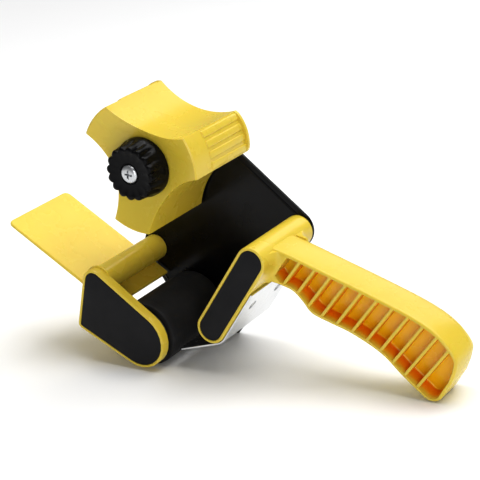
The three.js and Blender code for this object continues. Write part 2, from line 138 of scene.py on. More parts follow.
def loftRings(name, rings, ends="caps"):
    # a circle pulled out ring by ring: ends are closed by faces or joined to each other
    clearSelection()
    bpy.ops.mesh.primitive_circle_add(vertices=len(rings[0]), radius=1.0)
    piece = bpy.context.object
    piece.name = name
    bpy.ops.object.mode_set(mode="EDIT")
    bpy.ops.mesh.select_mode(type="EDGE")
    bpy.ops.mesh.select_all(action="SELECT")
    mesh = bmesh.from_edit_mesh(piece.data)
    mesh.verts.ensure_lookup_table()
    order = placeRing(piece, [vertex.co.copy() for vertex in mesh.verts], rings[0])
    if ends == "caps":
        bpy.ops.mesh.edge_face_add()
    for ring in rings[1:]:
        bpy.ops.mesh.select_all(action="DESELECT")
        selectLoop(piece, order)
        bpy.ops.mesh.extrude_edges_move()
        order = placeRing(piece, order, ring)
    if ends == "caps":
        bpy.ops.mesh.edge_face_add()
    else:
        bpy.ops.mesh.select_all(action="DESELECT")
        selectLoop(piece, order)
        selectLoop(piece, [Vector(spot) for spot in rings[0]])
        bpy.ops.mesh.bridge_edge_loops()
    bpy.ops.mesh.select_all(action="SELECT")
    bpy.ops.mesh.remove_doubles(threshold=0.00001)
    bpy.ops.mesh.normals_make_consistent(inside=False)
    bpy.ops.object.mode_set(mode="OBJECT")
    return piece


def selectLoop(piece, spots):
    # selects the open boundary edges whose ends both lie on the given spots
    mesh = bmesh.from_edit_mesh(piece.data)
    wanted = {tuple(round(c, 6) for c in spot) for spot in spots}
    for edge in mesh.edges:
        if len(edge.link_faces) < 2 and all(tuple(round(c, 6) for c in v.co) in wanted for v in edge.verts):
            edge.select_set(True)
    bpy.context.tool_settings.mesh_select_mode = (False, True, False)
    mesh.select_flush_mode()
    bmesh.update_edit_mesh(piece.data)


def applyModifier(piece, kind, **settings):
    pick(piece)
    modifier = piece.modifiers.new(kind.title(), kind)
    for key, value in settings.items():
        setattr(modifier, key, value)
    bpy.ops.object.modifier_apply(modifier=modifier.name)


def combine(piece, other, operation):
    applyModifier(piece, "BOOLEAN", operation=operation, object=other, solver="EXACT")
    bpy.data.objects.remove(other, do_unlink=True)


def joinPieces(name, pieces):
    clearSelection()
    for piece in pieces:
        piece.select_set(True)
    bpy.context.view_layer.objects.active = pieces[0]
    if len(pieces) > 1:
        bpy.ops.object.join()
    pieces[0].name = name
    return pieces[0]


def softenEdges(piece, width, segments=2, angle=35):
    applyModifier(
        piece, "BEVEL", width=width * mm, segments=segments, limit_method="ANGLE",
        angle_limit=math.radians(angle), use_clamp_overlap=True,
    )


def tidyMesh(piece, smoothAngle=32):
    pick(piece)
    bpy.ops.object.mode_set(mode="EDIT")
    bpy.ops.mesh.select_all(action="SELECT")
    bpy.ops.mesh.remove_doubles(threshold=0.000005)
    bpy.ops.mesh.dissolve_degenerate(threshold=0.000002)
    bpy.ops.mesh.normals_make_consistent(inside=False)
    bpy.ops.object.mode_set(mode="OBJECT")
    bpy.ops.object.shade_smooth_by_angle(angle=math.radians(smoothAngle))


def seat(piece, body, node, material, smoothAngle=32):
    # stands the finished piece where the tool stands and hands it to its body
    tidyMesh(piece, smoothAngle)
    piece.matrix_world = toolPlace @ piece.matrix_world
    pick(piece)
    bpy.ops.object.transform_apply(location=True, rotation=True, scale=True)
    looks = [face.material_index for face in piece.data.polygons]
    piece.data.materials.clear()
    for look in material if isinstance(material, list) else [material]:
        piece.data.materials.append(look)
    piece.data.polygons.foreach_set("material_index", looks)
    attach(piece, body)
    if node:
        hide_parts(node)
    print("made", piece.name, len(piece.data.polygons))
    return piece


def newFinish(name):
    material = bpy.data.materials.new(name)
    material.use_nodes = True
    nodes = material.node_tree.nodes
    links = material.node_tree.links
    shader = nodes["Principled BSDF"]
    coords = nodes.new("ShaderNodeTexCoord")
    return material, nodes, links, shader, coords.outputs["Object"]


def noiseOn(nodes, links, coords, scale, detail=3.0, stretch=None):
    noise = nodes.new("ShaderNodeTexNoise")
    noise.inputs["Scale"].default_value = scale
    noise.inputs["Detail"].default_value = detail
    if stretch:
        mapping = nodes.new("ShaderNodeMapping")
        mapping.inputs["Scale"].default_value = stretch
        links.new(coords, mapping.inputs["Vector"])
        coords = mapping.outputs["Vector"]
    links.new(coords, noise.inputs["Vector"])
    return noise.outputs["Fac"]


def rampOn(nodes, links, factor, stops):
    ramp = nodes.new("ShaderNodeValToRGB")
    for element, (place, colour) in zip(ramp.color_ramp.elements, (stops[0], stops[-1])):
        element.position = place
        element.color = (*colour, 1)
    for place, colour in stops[1:-1]:
        element = ramp.color_ramp.elements.new(place)
        element.color = (*colour, 1)
    links.new(factor, ramp.inputs["Fac"])
    return ramp.outputs["Color"]


def rangeOn(nodes, links, value, fromLow, fromHigh, low, high):
    remap = nodes.new("ShaderNodeMapRange")
    for socket, number in zip(("From Min", "From Max", "To Min", "To Max"), (fromLow, fromHigh, low, high)):
        remap.inputs[socket].default_value = number
    links.new(value, remap.inputs["Value"])
    return remap.outputs["Result"]


def bumpOn(nodes, links, shader, height, strength, distance):
    bump = nodes.new("ShaderNodeBump")
    bump.inputs["Strength"].default_value = strength
    bump.inputs["Distance"].default_value = distance
    links.new(height, bump.inputs["Height"])
    links.new(bump.outputs["Normal"], shader.inputs["Normal"])


yellowLook = {
    "light": (0.76, 0.59, 0.075), "deep": (0.73, 0.55, 0.058), 
    # painted pocket shade: amber to deep orange-red with depth into the pockets, lighter amber at the floor
    "paintedPocketShade": [
        (0.1, (0.90, 0.58, 0.030)), (0.5, (0.92, 0.32, 0.004)), (0.9, (0.90, 0.22, 0.001)), (0.985, (0.98, 0.66, 0.006)),
    ],
    "rough": (0.20, 0.34), "grainScale": 900, "grain": 0.05,
}


def yellowPlastic(name="yellowPlastic", paintedShadeDepths=None):
    # moulded gloss plastic: faint flow marks, worn sheen, and painted shade inside the pockets that turns from amber to
    # deep orange with depth, with a lighter painted amber at their floor
    material, nodes, links, shader, coords = newFinish(name)
    flow = noiseOn(nodes, links, coords, 14, 4, (1, 1, 2.4))
    colour = rampOn(nodes, links, flow, [(0.3, yellowLook["deep"]), (0.7, yellowLook["light"])])
    # painted shade: the colour is mixed towards the pocket ramp as Y goes deeper into the pockets
    if paintedShadeDepths:
        split = nodes.new("ShaderNodeSeparateXYZ")
        links.new(coords, split.inputs["Vector"])
        depth = rangeOn(nodes, links, split.outputs["Y"], paintedShadeDepths[0], paintedShadeDepths[1], 0.0, 1.0)
        mix = nodes.new("ShaderNodeMix")
        mix.data_type = "RGBA"
        links.new(rangeOn(nodes, links, depth, 0.02, 0.4, 0.0, 1.0), mix.inputs["Factor"])
        links.new(colour, mix.inputs["A"])
        links.new(rampOn(nodes, links, depth, yellowLook["paintedPocketShade"]), mix.inputs["B"])
        colour = mix.outputs["Result"]
    links.new(colour, shader.inputs["Base Color"])
    scuffs = noiseOn(nodes, links, coords, 60, 6)
    links.new(rangeOn(nodes, links, scuffs, 0.3, 0.75, *yellowLook["rough"]), shader.inputs["Roughness"])
    bumpOn(nodes, links, shader, noiseOn(nodes, links, coords, yellowLook["grainScale"], 2), yellowLook["grain"], 0.0001)
    shader.inputs["Subsurface Weight"].default_value = 0.12
    shader.inputs["Subsurface Radius"].default_value = (1.0, 0.5, 0.08)
    shader.inputs["Subsurface Scale"].default_value = 0.003
    shader.inputs["IOR"].default_value = 1.49
    return material


def blackGloss(name, low, high, rough, grainScale, grain, shine):
    # black enamel or moulded plastic: a trace of dust and rubbed patches
    material, nodes, links, shader, coords = newFinish(name)
    dust = noiseOn(nodes, links, coords, 35, 5)
    links.new(rampOn(nodes, links, dust, [(0.35, low), (0.8, high)]), shader.inputs["Base Color"])
    links.new(rangeOn(nodes, links, noiseOn(nodes, links, coords, 90, 4), 0.3, 0.7, *rough), shader.inputs["Roughness"])
    bumpOn(nodes, links, shader, noiseOn(nodes, links, coords, grainScale, 2), grain, 0.0001)
    shader.inputs["Specular IOR Level"].default_value = shine
    return material


def rollerRubber():
    # ground rubber: fine lathe marks round the roller and a dusty bloom
    material, nodes, links, shader, coords = newFinish("rollerRubber")
    lathe = noiseOn(nodes, links, coords, 60, 3, (1, 30, 1))
    bloom = noiseOn(nodes, links, coords, 40, 4)
    links.new(rampOn(nodes, links, bloom, [(0.3, (0.012, 0.012, 0.013)), (0.75, (0.032, 0.032, 0.035))]),
              shader.inputs["Base Color"])
    links.new(rangeOn(nodes, links, lathe, 0.3, 0.7, 0.42, 0.6), shader.inputs["Roughness"])
    bumpOn(nodes, links, shader, lathe, 0.25, 0.0001)
    shader.inputs["Specular IOR Level"].default_value = 0.15
    return material


def metal(name, low, high, rough, stretch):
    # plated or rolled metal with drawn marks along its grain
    material, nodes, links, shader, coords = newFinish(name)
    shader.inputs["Metallic"].default_value = 1.0
    marks = noiseOn(nodes, links, coords, 120, 4, stretch)
    links.new(rampOn(nodes, links, marks, [(0.3, low), (0.7, high)]), shader.inputs["Base Color"])
    links.new(rangeOn(nodes, links, marks, 0.25, 0.75, *rough), shader.inputs["Roughness"])
    bumpOn(nodes, links, shader, marks, 0.08, 0.0001)
    return material


def pressedFibre():
    material, nodes, links, shader, coords = newFinish("pressedFibre")
    fibres = noiseOn(nodes, links, coords, 900, 5, (1, 0.2, 1))
    links.new(rampOn(nodes, links, fibres, [(0.3, (0.07, 0.025, 0.012)), (0.7, (0.17, 0.075, 0.03))]),
              shader.inputs["Base Color"])
    shader.inputs["Roughness"].default_value = 0.85
    bumpOn(nodes, links, shader, fibres, 0.4, 0.0001)
    return material


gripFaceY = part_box("tape_hub")[0].y + 13.5 * mm
finish = {
    "yellow": yellowPlastic(),
    # the yellow with painted shade deepening into the grip's pockets
    "paintedPocketShade": yellowPlastic("yellowWithPaintedPocketShade", (gripFaceY, gripFaceY + 10.2 * mm)),
    "enamel": blackGloss("blackEnamel", (0.0025, 0.0025, 0.003), (0.006, 0.006, 0.007), (0.16, 0.30), 500, 0.06, 0.2),
    "panel": blackGloss("charcoalPanel", (0.011, 0.011, 0.0125), (0.018, 0.018, 0.020), (0.42, 0.55), 1800, 0.25, 0.16),
    "knob": blackGloss("knobPlastic", (0.002, 0.002, 0.0024), (0.006, 0.006, 0.007), (0.22, 0.36), 1200, 0.08, 0.14),
    "core": blackGloss("greyCore", (0.07, 0.07, 0.075), (0.10, 0.10, 0.105), (0.4, 0.55), 1000, 0.1, 0.5),
    "rubber": rollerRubber(),
    "zinc": metal("zincPlate", (0.50, 0.51, 0.53), (0.72, 0.73, 0.74), (0.22, 0.38), (1, 1, 1)),
    "blade": metal("bladeSteel", (0.55, 0.56, 0.58), (0.78, 0.79, 0.80), (0.14, 0.28), (1, 14, 1)),
    "brass": metal("turnedBrass", (0.60, 0.38, 0.13), (0.80, 0.56, 0.24), (0.25, 0.4), (1, 8, 1)),
    "fibre": pressedFibre(),
}
print("finishes ready")


hub = {
    "radius": 37.3, "waist": 20.5, "width": 51.3, "edge": 0.5,
    "lobeSpan": 36, "firstLobe": 20.8, "lobeSteps": 14, "hollowSteps": 22,
    "dishSlope": 0.28, "dishFloor": 16, "seatRadius": 10.2, "seatDepth": 5, "face": 7.5,
    "bore": 5.3, "boss": 8.5, "wall": 2.6, "lip": 39.35, "lipWidth": 2.3,
    "ribRadius": 38.0, "ribWidth": 4.2, "ribPitch": 5.9, "ribs": 4, "ribStart": 15, "ribEnd": 49.2, "web": 2,
}
dishDepth = hub["dishSlope"] * (hub["radius"] - hub["dishFloor"])


def lobedPoints(radius, waist):
    # three lobes on a circle joined by concave arcs
    half = math.radians(hub["lobeSpan"] / 2)
    step = 2 * math.pi / 3
    chord = radius * math.cos(step / 2 - half)
    halfChord = radius * math.sin(step / 2 - half)
    sagitta = chord - waist
    hollowRadius = (halfChord ** 2 + sagitta ** 2) / (2 * sagitta)
    spread = math.asin(halfChord / hollowRadius)
    points = []
    for lobe in range(3):
        middle = math.radians(hub["firstLobe"]) + lobe * step
        for k in range(hub["lobeSteps"] + 1):
            angle = middle - half + 2 * half * k / hub["lobeSteps"]
            points.append((radius * math.cos(angle), radius * math.sin(angle)))
        hollow = middle + step / 2
        away = waist + hollowRadius
        for k in range(1, hub["hollowSteps"]):
            angle = hollow + math.pi + spread - 2 * spread * k / hub["hollowSteps"]
            points.append((
                away * math.cos(hollow) + hollowRadius * math.cos(angle),
                away * math.sin(hollow) + hollowRadius * math.sin(angle),
            ))
    return points


def lippedPoints(radius):
    # the lobes grow to the given radius in the middle of each and keep their corners
    half = math.radians(hub["lobeSpan"] / 2)
    points = []
    for x, z in lobedPoints(hub["radius"], hub["waist"]):
        away = math.hypot(x, z)
        turn = (math.atan2(z, x) - math.radians(hub["firstLobe"]) + math.pi / 3) % (2 * math.pi / 3) - math.pi / 3
        if abs(turn) < half:
            away += (radius - hub["radius"]) * math.sqrt(1 - (turn / half) ** 2)
        points.append((away * x / math.hypot(x, z), away * z / math.hypot(x, z)))
    return points


def sameAngles(outline, radius):
    # a circle with its points at the outline's own angles
    return [(radius * x / math.hypot(x, z), radius * z / math.hypot(x, z)) for x, z in outline]


def dishRing(outline, share, lift=0.0):
    # ring on the conical front, part of the way from the dish floor to the outline
    floor = sameAngles(outline, hub["dishFloor"])
    ring = []
    for (x, z), (u, w) in zip(outline, floor):
        px, pz = u + (x - u) * share, w + (z - w) * share
        y = hub["dishSlope"] * (hub["radius"] - math.hypot(px, pz)) + lift
        ring.append(Vector((px * mm, y * mm, pz * mm)))
    return ring


def makeHubBody():
    front = lobedPoints(hub["radius"] - hub["edge"], hub["waist"])
    side = lobedPoints(hub["radius"], hub["waist"])
    lip = lippedPoints(hub["lip"])
    inner = lobedPoints(hub["radius"] - hub["wall"], hub["waist"] - hub["wall"])
    seatFloor = dishDepth + hub["seatDepth"]
    hollowFloor = dishDepth + hub["face"]
    rear = hub["width"]
    edge = hub["edge"]
    circle = lambda radius, y: ringAt(sameAngles(front, radius), y)
    rings = [
        circle(hub["bore"], seatFloor),
        circle(hub["seatRadius"], seatFloor),
        circle(hub["seatRadius"], dishDepth + edge),
        circle(hub["seatRadius"] + edge, dishDepth),
        circle(hub["dishFloor"], dishDepth),
    ]
    rings += [dishRing(front, share) for share in (0.3, 0.6, 0.9, 0.985)]
    rings += [
        [spot + Vector((0, edge * 0.5 * mm, 0)) for spot in dishRing(front, 1.0)],
        [spot + Vector((0, edge * 1.6 * mm, 0)) for spot in dishRing(side, 1.0)],
        ringAt(side, dishDepth),
        ringAt(side, rear - hub["lipWidth"] - 0.3),
        ringAt(lip, rear - hub["lipWidth"]),
        ringAt(lip, rear - edge),
        ringAt(lippedPoints(hub["lip"] - edge), rear),
        ringAt(inner, rear),
        ringAt(inner, hollowFloor + 1.2),
        ringAt(lobedPoints(hub["radius"] - hub["wall"] - 1, hub["waist"] - hub["wall"] - 1), hollowFloor),
        circle(hub["boss"] + 1, hollowFloor),
        circle(hub["boss"], hollowFloor + 1),
        circle(hub["boss"], rear - edge),
        circle(hub["boss"] - edge, rear),
        circle(hub["bore"], rear),
    ]
    return loftRings("tapeHub", rings, ends="bridge")


def makeHubRib(angle):
    # rounded bar along the lobe, sunk into it
    length = hub["ribEnd"] - hub["ribStart"]
    clearSelection()
    bpy.ops.mesh.primitive_cube_add(size=1, location=(
        (hub["ribRadius"] - 1) * mm, (hub["ribStart"] + length / 2) * mm, 0,
    ), scale=(2 * mm, length * mm, hub["ribWidth"] * mm))
    rib = bpy.context.object
    bpy.ops.object.transform_apply(location=True, rotation=True, scale=True)
    softenEdges(rib, 0.95, 4)
    rib.matrix_world = Matrix.Rotation(-angle, 4, "Y")
    bpy.ops.object.transform_apply(rotation=True)
    return rib


def makeHubWeb(angle):
    clearSelection()
    inner, outer = hub["boss"] - 1, hub["radius"] - 1
    depth = hub["width"] - 3 - dishDepth - hub["face"] + 1
    bpy.ops.mesh.primitive_cube_add(size=1, location=(
        (inner + outer) / 2 * mm, (hub["width"] - 3 - depth / 2) * mm, 0,
    ), scale=((outer - inner) * mm, depth * mm, hub["web"] * mm))
    web = bpy.context.object
    bpy.ops.object.transform_apply(location=True, rotation=True, scale=True)
    web.matrix_world = Matrix.Rotation(-angle, 4, "Y")
    bpy.ops.object.transform_apply(rotation=True)
    return web


def makeTapeHub():
    body = makeHubBody()
    extras = []
    for lobe in range(3):
        middle = math.radians(hub["firstLobe"] + 120 * lobe)
        extras.append(makeHubWeb(middle))
        for i in range(hub["ribs"]):
            offset = (i - (hub["ribs"] - 1) / 2) * hub["ribPitch"] / hub["radius"]
            extras.append(makeHubRib(middle + offset))
    combine(body, joinPieces("hubExtras", extras), "UNION")
    return seat(body, "hub", "tape_hub", finish["yellow"], 30)


makeTapeHub()


knob = {
    "near": -8.5, "far": 5.7, "front": 15.2, "back": 16.55, "flutes": 16, "steps": 8, "flute": 1.7,
    "recess": 5.6, "recessFloor": -6.5, "cavity": 10.6, "roof": -2,
}


def flutedPoints(radius, flute):
    count = knob["flutes"] * knob["steps"]
    points = []
    for k in range(count):
        angle = 2 * math.pi * k / count
        r = radius - flute * (1 - abs(math.cos(knob["flutes"] * angle / 2)))
        points.append((r * math.cos(angle), r * math.sin(angle)))
    return points


def makeTensionKnob():
    near, far, front, back, flute = (knob[key] for key in ("near", "far", "front", "back", "flute"))
    profile = [
        (knob["recess"], 0, knob["recessFloor"]),
        (knob["recess"], 0, near + 0.9), (knob["recess"] + 0.5, 0, near + 0.35),
        (front - 3.4, flute * 0.1, near + 0.35), (front - 2.6, flute * 0.4, near + 0.12),
        (front - 1.3, flute * 0.8, near), (front - 0.5, flute, near + 0.35), (front - 0.05, flute, near + 1.2),
        (front + 0.2, flute, near + 4), (front + 0.6, flute * 0.75, near + 7.5),
        (front + 0.95, flute * 0.25, near + 9.6), (back, 0, near + 11),
        (back, 0, far - 0.7), (back - 0.6, 0, far),
        (knob["cavity"] + 0.5, 0, far), (knob["cavity"], 0, far - 0.5), (knob["cavity"], 0, knob["roof"]),
    ]
    rings = [ringAt(flutedPoints(radius, depth), y) for radius, depth, y in profile]
    piece = loftRings("tensionKnob", rings)
    return seat(piece, "knob", "tension_knob", finish["knob"], 40)


screw = {
    "front": -9.5, "seat": -6.5, "head": 5.2, "shank": 3.0, "end": 63.4, "threadFrom": 50, "pitch": 1.0, "threadDepth": 0.32,
    "crossLength": 5.6, "crossWidth": 1.25, "crossDepth": 1.7,
}


def turned(name, profile, x=0.0, z=0.0, count=48):
    # a turned part: (radius, y) rings about an axis along Y
    return loftRings(name, [ringAt(circlePoints(x, z, radius, count), y) for radius, y in profile])


def crossCutter(x, z, y, length, width, depth, towards):
    # tapered cross of a screwdriver recess, opening along towards (-1 near side, 1 far side)
    bars = []
    for turn in (0, 1):
        bpy.ops.object.select_all(action="DESELECT")
        bpy.ops.mesh.primitive_cube_add(size=1, location=(x * mm, y * mm, z * mm))
        bar = bpy.context.object
        size = (length, 2 * depth, width) if turn == 0 else (width, 2 * depth, length)
        bar.scale = [side * mm for side in size]
        bpy.ops.object.transform_apply(location=True, rotation=True, scale=True)
        bpy.ops.object.mode_set(mode="EDIT")
        bpy.ops.mesh.select_all(action="DESELECT")
        mesh = bmesh.from_edit_mesh(bar.data)
        for face in mesh.faces:
            face.select_set(face.normal.y * towards < -0.9)
        bmesh.update_edit_mesh(bar.data)
        bpy.ops.transform.resize(value=(0.5, 1, 0.5), center_override=(x * mm, y * mm, z * mm))
        bpy.ops.object.mode_set(mode="OBJECT")
        bars.append(bar)
    combine(bars[0], bars[1], "UNION")
    return bars[0]


def makeTensionScrew():
    front, seatY, head, shank = (screw[key] for key in ("front", "seat", "head", "shank"))
    profile = [
        (1.6, front), (3.0, front + 0.12), (head - 1.0, front + 0.45), (head - 0.35, front + 0.95),
        (head, front + 1.7), (head, seatY), (shank, seatY), (shank, screw["threadFrom"]),
    ]
    y = screw["threadFrom"]
    while y + screw["pitch"] < screw["end"] - 0.6:
        profile += [(shank - screw["threadDepth"], y + screw["pitch"] / 2), (shank, y + screw["pitch"])]
        y += screw["pitch"]
    profile += [(shank, screw["end"] - 0.5), (shank - 0.5, screw["end"])]
    piece = turned("tensionScrew", profile)
    combine(piece, crossCutter(0, 0, front, screw["crossLength"], screw["crossWidth"], screw["crossDepth"], -1), "DIFFERENCE")
    return seat(piece, "knob", "tension_screw", finish["zinc"], 38)


makeTensionKnob()
makeTensionScrew()


guard = {
    "near": -7.2, "far": -1.5, "rim": 1.6, "inset": 1.2, "edge": 0.7,
    "discs": [(-28, -72, 7.6), (-37.2, -100.2, 3.0), (1.6, -99.1, 17.1)],
    "bar": (-27.5, -72.5, 7.5), "barEnd": 53, "barFillet": 1.6,
    "tip": (-92.5, -52.5), "lip": (-18.7, -87.0), "thickness": 1.9, "flapFar": 51.7, "cornerRadius": 3.5,
    "webWidth": 7, "webDrop": 5.6,
}


def softPlate(name, outlineAt, near, far, edge, nearSteps=4, farSteps=2):
    # plate with rounded edges: outlineAt(inset) gives its outline moved inwards
    rings = []
    for k in range(nearSteps + 1):
        angle = math.pi / 2 * k / nearSteps
        rings.append(ringAt(outlineAt(edge * (1 - math.sin(angle))), near + edge * (1 - math.cos(angle))))
    for k in range(farSteps + 1):
        angle = math.pi / 2 * k / farSteps
        rings.append(ringAt(outlineAt(edge * (1 - math.cos(angle))), far - edge * (1 - math.sin(angle))))
    return loftRings(name, rings)


def makeGuardPlate():
    near, far, edge = guard["near"], guard["far"], guard["edge"]
    outline = lambda inset: beltPoints(guard["discs"], inset, 12)
    rings = [ringAt(outline(guard["rim"]), near + guard["inset"])]
    rings += [ringAt(outline(guard["rim"] - 0.05), near + 0.25), ringAt(outline(guard["rim"] - 0.25), near)]
    for k in range(5):
        angle = math.pi / 2 * k / 4
        rings.append(ringAt(outline(edge * (1 - math.sin(angle))), near + edge * (1 - math.cos(angle))))
    rings += [ringAt(outline(0), far - 0.4), ringAt(outline(0.4), far)]
    return loftRings("frontGuard", rings)


def makeFlap():
    # rounded sheet drawn flat, then laid along the line from its free edge to the lip
    tip, lip = Vector(guard["tip"]), Vector(guard["lip"])
    length = (lip - tip).length
    corner = guard["cornerRadius"]
    near, far, half = guard["far"] - 0.5, guard["flapFar"], guard["thickness"] / 2
    discs = [
        (corner, near + corner, corner), (length - 1, near + 1, 1),
        (length - 1, far - 1, 1), (corner, far - corner, corner),
    ]
    rings = []
    for inset, height in ((0.6, -half), (0.15, -half + 0.35), (0, 0), (0.15, half - 0.35), (0.6, half)):
        ring = [Vector((s * mm, w * mm, height * mm)) for s, w in beltPoints(discs, inset, 6)]
        rings.append(ring)
    sheet = loftRings("flap", rings)
    lean = math.atan2(lip.y - tip.y, lip.x - tip.x)
    sheet.matrix_world = Matrix.Translation((tip.x * mm, 0, tip.y * mm)) @ Matrix.Rotation(-lean, 4, "Y")
    pick(sheet)
    bpy.ops.object.transform_apply(location=True, rotation=True)
    return sheet, lean


def makeFrontGuard():
    plate = makeGuardPlate()
    x, z, radius = guard["bar"]
    fillet = guard["barFillet"]
    profile = [(radius + fillet, guard["far"] - 1)]
    for k in range(5):
        angle = math.pi / 2 * k / 4
        profile.append((radius + fillet * (1 - math.sin(angle)), guard["far"] + fillet * (1 - math.cos(angle))))
    profile += [(radius, guard["barEnd"] - 0.5), (radius - 0.5, guard["barEnd"])]
    bar = turned("bar", profile, x, z, 64)
    flap, lean = makeFlap()
    clearSelection()
    drop, width = guard["webDrop"], guard["flapFar"] - guard["far"]
    bpy.ops.mesh.primitive_cube_add(size=1, location=(
        (x + drop * math.sin(lean)) * mm, (guard["far"] - 0.5 + width / 2) * mm, (z - drop * math.cos(lean)) * mm,
    ), rotation=(0, -lean, 0), scale=(guard["webWidth"] * mm, width * mm, 7.4 * mm))
    web = bpy.context.object
    bpy.ops.object.transform_apply(location=True, rotation=True, scale=True)
    combine(plate, bar, "UNION")
    combine(plate, web, "UNION")
    combine(plate, flap, "UNION")
    return seat(plate, "frame", "front_guard", finish["yellow"], 30)


def makeGuardPanel():
    inset = guard["rim"] + 0.15
    outline = lambda extra: beltPoints(guard["discs"], inset + extra, 12)
    piece = softPlate("guardPanel", outline, guard["near"] + 0.12, guard["near"] + guard["inset"], 0.35)
    return seat(piece, "frame", "guard_panel", finish["panel"], 35)


makeFrontGuard()
makeGuardPanel()


member = {
    "top": (69.0, -38.5), "low": (43.7, -84.6), "radius": 8.6, "near": 2.0, "far": 53.0,
    "rim": 1.7, "inset": 1.0, "edge": 0.8,
}
grip = {
    "near": 13.5, "far": 38.0, "wall": 1.9, "depth": 10.2, "web": 2.5, "farWall": 4.3,
    "farRound": 4.1, "farDepth": 7.4, "edge": 1.3,
    "start": (70, -32),
    "back": [
        (84, -34), (110, -39.4), (136, -45), (159, -50.8), (173.6, -57.4), (182.9, -66.6), (183.46, -73.6), (181.55, -81.5),
    ],
    "toe": (170.5, -88.35, 6.98), "toeFrom": -20, "toeTo": -133,
    "fingers": [(154, -85.6), (141, -76.2), (124, -69.8), (111, -67.2), (100, -64.6), (94, -59), (88, -54.6), (80, -53)],
    "end": (64, -52), "steps": 6,
    "ribs": 11, "ribPitch": 8.78, "ribThickness": 1.6, "ribAt": (92, -36.8), "ribLean": 58, "firstPocket": 6.8,
}
memberAxis = (Vector(member["low"]) - Vector(member["top"])).normalized()
memberRear = Vector((-memberAxis.y, memberAxis.x))


def besideMember(along, behind):
    return Vector(member["top"]) + memberAxis * along + memberRear * behind


def smoothThrough(points, steps):
    # Catmull-Rom curve through the points, without its first point
    line = [2 * Vector(points[0]) - Vector(points[1])] + [Vector(p) for p in points]
    line.append(2 * line[-1] - line[-2])
    curve = []
    for a, b, c, d in zip(line, line[1:], line[2:], line[3:]):
        for k in range(1, steps + 1):
            t = k / steps
            curve.append(0.5 * (2 * b + (c - a) * t + (2 * a - 5 * b + 4 * c - d) * t * t + (3 * b - a - 3 * c + d) * t ** 3))
    return curve


def gripPoints():
    # side outline of the grip, clockwise from the top of the neck
    points = [Vector(grip["start"])] + smoothThrough([grip["start"]] + grip["back"], grip["steps"])
    x, z, radius = grip["toe"]
    heel = points[-1]
    toeStart = Vector((x, z)) + radius * Vector((math.cos(math.radians(grip["toeFrom"])), math.sin(math.radians(grip["toeFrom"]))))
    points += [heel.lerp(toeStart, share) for share in (0.25, 0.5, 0.75)]
    for k in range(9):
        angle = math.radians(grip["toeFrom"] + (grip["toeTo"] - grip["toeFrom"]) * k / 8)
        points.append(Vector((x + radius * math.cos(angle), z + radius * math.sin(angle))))
    points += smoothThrough([points[-1]] + grip["fingers"], grip["steps"])
    end, start = Vector(grip["end"]), Vector(grip["start"])
    points += [points[-1].lerp(end, share) for share in (0.35, 0.7, 1.0)]
    points += [end.lerp(start, share) for share in (0.25, 0.5, 0.75)]
    return points


def insetPoints(points, distance):
    # clockwise outline moved inwards
    moved = []
    for i, point in enumerate(points):
        along = (points[(i + 1) % len(points)] - points[i - 1]).normalized()
        moved.append(point + Vector((along.y, -along.x)) * distance)
    return moved


def pocketPoints(points, distance):
    # the inset outline with its neck end drawn back to the slanted start of the pockets
    lean = math.radians(grip["ribLean"])
    across = Vector((math.sin(lean), -math.cos(lean)))
    reach = across.dot(Vector(grip["ribAt"])) - grip["firstPocket"]
    moved = insetPoints(points, distance)
    inside = [across.dot(point) > reach for point in moved]
    firstIn = inside.index(True)
    lastIn = len(inside) - 1 - inside[::-1].index(True)
    top, bottom = moved[firstIn], moved[lastIn]
    top = top + across * (reach - across.dot(top))
    bottom = bottom + across * (reach - across.dot(bottom))
    loose = list(range(lastIn + 1, len(moved))) + list(range(firstIn))
    for count, index in enumerate(loose, 1):
        moved[index] = bottom.lerp(top, count / (len(loose) + 1))
    return moved


def makeGripShell():
    outline = gripPoints()
    flat = lambda points, y: [Vector((p.x * mm, y * mm, p.y * mm)) for p in points]
    near, far, edge, wall = (grip[key] for key in ("near", "far", "edge", "wall"))
    floorY = near + grip["depth"]
    rings = []
    for k in range(8):
        angle = math.pi / 2 * k / 7
        inset = grip["farRound"] * (1 - math.sin(angle))
        rings.append(flat(insetPoints(outline, inset), far - grip["farDepth"] * (1 - math.cos(angle))))
    for k in range(4):
        angle = math.pi / 2 * k / 3
        rings.append(flat(insetPoints(outline, edge * (1 - math.cos(angle))), near + edge * (1 - math.sin(angle))))
    rings += [
        flat(pocketPoints(outline, wall - 0.3), near),
        flat(pocketPoints(outline, wall), near + 0.5),
        flat(pocketPoints(outline, wall + 0.25), floorY - 1.2),
        flat(pocketPoints(outline, wall + 0.55), floorY - 0.35),
        flat(pocketPoints(outline, wall + 1.1), floorY),
    ]
    return loftRings("handle", rings)


def wallHits(line, direction, walls):
    # distances along a line at which it crosses a closed outline
    hits = []
    for a, b in zip(walls, walls[1:] + walls[:1]):
        side = b - a
        denominator = direction.x * side.y - direction.y * side.x
        if abs(denominator) < 1e-9:
            continue
        offset = a - line
        distance = (offset.x * side.y - offset.y * side.x) / denominator
        share = (offset.x * direction.y - offset.y * direction.x) / denominator
        if 0 <= share < 1:
            hits.append(distance)
    return sorted(hits)


